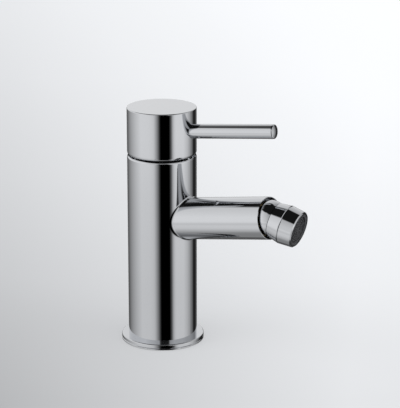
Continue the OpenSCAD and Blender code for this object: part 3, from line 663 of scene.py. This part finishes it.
def crossing_point(radius, extra):
    """Where a spout of a radius meets the body, moved out along the spout by an extra length."""
    side = calculate(fillet_tree, "MULTIPLY", radius, round_cosine)
    up = calculate(fillet_tree, "MULTIPLY", radius, round_sine)
    body_square = calculate(fillet_tree, "MULTIPLY", given["Body"], given["Body"])
    side_square = calculate(fillet_tree, "MULTIPLY", side, side)
    room = calculate(fillet_tree, "SUBTRACT", body_square, side_square)
    lean = calculate(fillet_tree, "MULTIPLY_ADD", up, tilt_sine, calculate(fillet_tree, "SQRT", room))
    far = calculate(fillet_tree, "ADD", calculate(fillet_tree, "DIVIDE", lean, tilt_cosine), extra)
    drop = calculate(fillet_tree, "MULTIPLY", up, tilt_sine)
    lift = calculate(fillet_tree, "MULTIPLY_ADD", up, tilt_cosine, given["Level"])
    ahead = calculate(fillet_tree, "MULTIPLY", far, tilt_cosine)
    point = add(fillet_tree, "ShaderNodeCombineXYZ")
    link(fillet_tree, calculate(fillet_tree, "SUBTRACT", ahead, drop), point.inputs["X"])
    link(fillet_tree, side, point.inputs["Y"])
    link(fillet_tree, calculate(fillet_tree, "MULTIPLY_ADD", far, tilt_sine, lift), point.inputs["Z"])
    return point.outputs["Vector"]


def between(start, end):
    """Point between two others, by the share of the way across the fillet."""
    node = add(fillet_tree, "ShaderNodeMix", data_type="VECTOR")
    ends = [s for s in node.inputs if s.type == "VECTOR"]
    link(fillet_tree, share, node.inputs["Factor"])
    link(fillet_tree, start, ends[1])
    link(fillet_tree, end, ends[2])
    return [s for s in node.outputs if s.type == "VECTOR"][0]


on_body = crossing_point(calculate(fillet_tree, "ADD", given["Spout"], given["Size"]), 0)
corner = crossing_point(given["Spout"], 0)
on_spout = crossing_point(given["Spout"], given["Size"])
bent = add(fillet_tree, "GeometryNodeSetPosition")
link(fillet_tree, sheet.outputs["Mesh"], bent.inputs["Geometry"])
link(fillet_tree, between(between(on_body, corner), between(corner, on_spout)), bent.inputs["Position"])
closed = add(fillet_tree, "GeometryNodeMergeByDistance", {"Distance": SEAM_DISTANCE})
smooth = add(fillet_tree, "GeometryNodeSetShadeSmooth")
link(fillet_tree, bent.outputs["Geometry"], closed.inputs["Geometry"])
link(fillet_tree, closed.outputs["Geometry"], smooth.inputs["Geometry"])
finish_tree(fillet_tree, smooth.outputs["Geometry"], given["Finish"], target)
print("fillet tree of", len(fillet_tree.nodes), "nodes")

# %% Fillet round the spout
BODY_RADIUS = 0.020
SPOUT_RADIUS = 0.012
FILLET_SIZE = 0.0013
# The fillet lies this far over the tubes, so that the faces don't coincide
SKIN = 0.000008

swivel = next(j for j in frame["record"]["behaviour"]["joints"] if j["name"] == "aerator_swivel")
spout_axis = Vector(swivel["axis"])
spout_end = Vector(swivel["pos_m"])
tilt = math.asin(spout_axis.z)
level = spout_end.z - spout_end.x * math.tan(tilt)
mesh = grow("root_fillet", fillet_tree, {
    "Body": BODY_RADIUS + SKIN, "Spout": SPOUT_RADIUS + SKIN, "Tilt": tilt, "Level": level,
    "Size": FILLET_SIZE, "Around": 241, "Across": 13, "Finish": finishes["chrome_plate"]})
# Faces look away from points that lie further in, on the level where the spout starts
INWARD = 0.9
outward = sum(p.normal.dot(p.center - Vector((p.center.x * INWARD, 0, level))) for p in mesh.polygons)
if outward < 0:
    mesh.flip_normals()
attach(link_object("root_fillet", mesh), "mixer_body")
print("fillet of", len(mesh.polygons), "faces, spout rises", round(math.degrees(tilt), 1), "degrees")

# %% [markdown]
# ## Wire screen of the aerator
# Behind the grille an aerator carries a fine screen that mixes air into the water. It is plain
# weave: two sets of steel wires cross, and each wire goes over one and under the next. A third
# tree lays straight wires side by side, cut to the chord of the circle, turns a copy a quarter
# turn, and lifts both by a cosine with opposite signs, so that they pass each other at every
# crossing. The screen is made lying flat and then set square to the aerator's own axis.

# %% Tree for a woven screen
screen_tree, given, target = new_tree("woven_screen", [
    ("Radius", "Float"), ("Pitch", "Float"), ("Wire", "Float"), ("Wires", "Int"),
    ("Bends", "Int"), ("Finish", "Material")])
span = calculate(screen_tree, "SUBTRACT", given["Wires"], 1)
edge = calculate(screen_tree, "MULTIPLY", calculate(screen_tree, "MULTIPLY", span, given["Pitch"]), -0.5)
first = add(screen_tree, "ShaderNodeCombineXYZ")
link(screen_tree, edge, first.inputs["Y"])
step = add(screen_tree, "ShaderNodeCombineXYZ")
link(screen_tree, given["Pitch"], step.inputs["Y"])
row = add(screen_tree, "GeometryNodeMeshLine")
link(screen_tree, given["Wires"], row.inputs["Count"])
link(screen_tree, first.outputs["Vector"], row.inputs["Start Location"])
link(screen_tree, step.outputs["Vector"], row.inputs["Offset"])
wire = add(screen_tree, "GeometryNodeCurvePrimitiveLine", {"Start": (-1, 0, 0), "End": (1, 0, 0)})
bends = add(screen_tree, "GeometryNodeResampleCurve")
link(screen_tree, wire.outputs["Curve"], bends.inputs["Curve"])
link(screen_tree, given["Bends"], bends.inputs["Count"])
place = add(screen_tree, "GeometryNodeInputPosition")
parts = add(screen_tree, "ShaderNodeSeparateXYZ")
link(screen_tree, place.outputs["Position"], parts.inputs["Vector"])
square = calculate(screen_tree, "MULTIPLY", parts.outputs["Y"], parts.outputs["Y"])
room = calculate(screen_tree, "MULTIPLY", given["Radius"], given["Radius"])
chord = calculate(screen_tree, "SQRT", calculate(screen_tree, "SUBTRACT", room, square))
reach = add(screen_tree, "ShaderNodeCombineXYZ", {"Y": 1, "Z": 1})
link(screen_tree, chord, reach.inputs["X"])
laid = add(screen_tree, "GeometryNodeInstanceOnPoints")
link(screen_tree, row.outputs["Mesh"], laid.inputs["Points"])
link(screen_tree, bends.outputs["Curve"], laid.inputs["Instance"])
link(screen_tree, reach.outputs["Vector"], laid.inputs["Scale"])
flat = add(screen_tree, "GeometryNodeRealizeInstances")
link(screen_tree, laid.outputs["Instances"], flat.inputs["Geometry"])
crossing = add(screen_tree, "GeometryNodeTransform", {"Rotation": (0, 0, math.pi / 2)})
link(screen_tree, flat.outputs["Geometry"], crossing.inputs["Geometry"])
phase = calculate(screen_tree, "DIVIDE", calculate(
    screen_tree, "ADD", parts.outputs["X"], parts.outputs["Y"]), given["Pitch"])
weave = calculate(screen_tree, "COSINE", calculate(screen_tree, "MULTIPLY", phase, math.pi))
rise = calculate(screen_tree, "MULTIPLY", weave, given["Wire"])
both = add(screen_tree, "GeometryNodeJoinGeometry")
for lines, sign in ((flat, 1), (crossing, -1)):
    offset = add(screen_tree, "ShaderNodeCombineXYZ")
    link(screen_tree, calculate(screen_tree, "MULTIPLY", rise, sign), offset.inputs["Z"])
    bent = add(screen_tree, "GeometryNodeSetPosition")
    link(screen_tree, lines.outputs["Geometry"], bent.inputs["Geometry"])
    link(screen_tree, offset.outputs["Vector"], bent.inputs["Offset"])
    link(screen_tree, bent.outputs["Geometry"], both.inputs["Geometry"])
section = add(screen_tree, "GeometryNodeCurvePrimitiveCircle", {"Resolution": 6})
link(screen_tree, given["Wire"], section.inputs["Radius"])
sweep = add(screen_tree, "GeometryNodeCurveToMesh", {"Fill Caps": True})
link(screen_tree, both.outputs["Geometry"], sweep.inputs["Curve"])
link(screen_tree, section.outputs["Curve"], sweep.inputs["Profile Curve"])
finish_tree(screen_tree, sweep.outputs["Mesh"], given["Finish"], target)
print("screen tree of", len(screen_tree.nodes), "nodes")

# %% Screen behind the grille
SCREEN_BACK = 0.0012

low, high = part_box("aerator_grille")
grille_middle = (low + high) / 2
low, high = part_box("ball_seal")
joint_middle = (low + high) / 2
axis = (grille_middle - joint_middle).normalized()
mesh = grow("wire_screen", screen_tree, {
    "Radius": 0.0064, "Pitch": 0.0009, "Wire": 0.00012, "Wires": 13, "Bends": 48,
    "Finish": finishes["plain_steel"]})
turn = axis.to_track_quat("Z", "X").to_matrix().to_4x4()
mesh.transform(Matrix.Translation(grille_middle - axis * SCREEN_BACK) @ turn)
screen = link_object("wire_screen", mesh)
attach(screen, "aerator")
print("screen of", len(mesh.polygons), "faces, axis", [round(c, 3) for c in axis])
